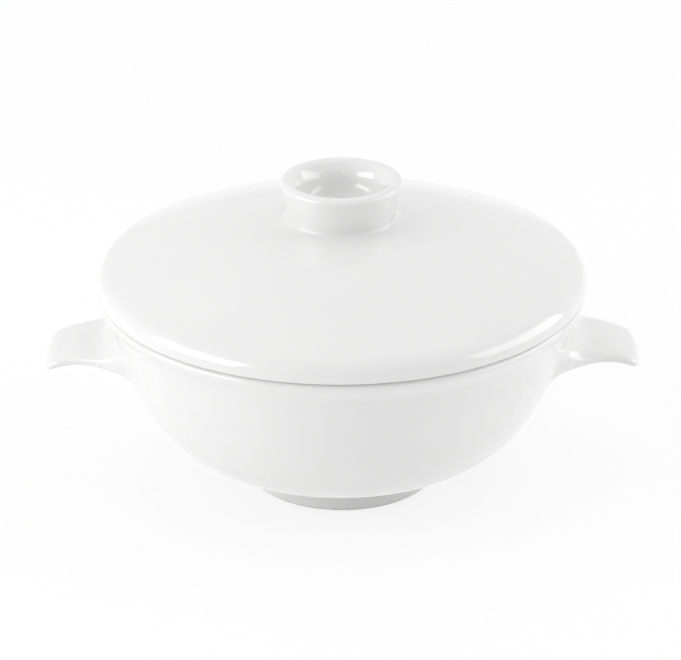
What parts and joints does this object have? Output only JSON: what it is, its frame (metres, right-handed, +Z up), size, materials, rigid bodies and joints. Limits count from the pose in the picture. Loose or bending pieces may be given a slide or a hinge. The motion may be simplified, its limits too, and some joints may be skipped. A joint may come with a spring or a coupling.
{
  "type": "lidded broth bowl",
  "caption": "Round footed porcelain bowl with lug handles at its sides and a domed lid that lifts off by a cupped knob, for serving broth or soup.",
  "frame": {"origin": "centre of the foot ring's standing face", "axes": "+Z up along the axis of the bowl and its lid, handles along -X and +X"},
  "size_m": [0.171, 0.14, 0.0918],
  "materials": {
    "glazed_porcelain": "clear gloss glaze over white porcelain"
  },
  "bodies": {
    "bowl_body": {"bowl": "glazed_porcelain", "handle_left": "glazed_porcelain", "handle_right": "glazed_porcelain"},
    "lid_body": {"lid": "glazed_porcelain", "knob": "glazed_porcelain"}
  },
  "joints": [
    {"name": "lid_lift", "type": "slide", "parent": "bowl_body", "child": "lid_body", "axis": [0, 0, 1], "range_m": [0, 0.12]}
  ]
}
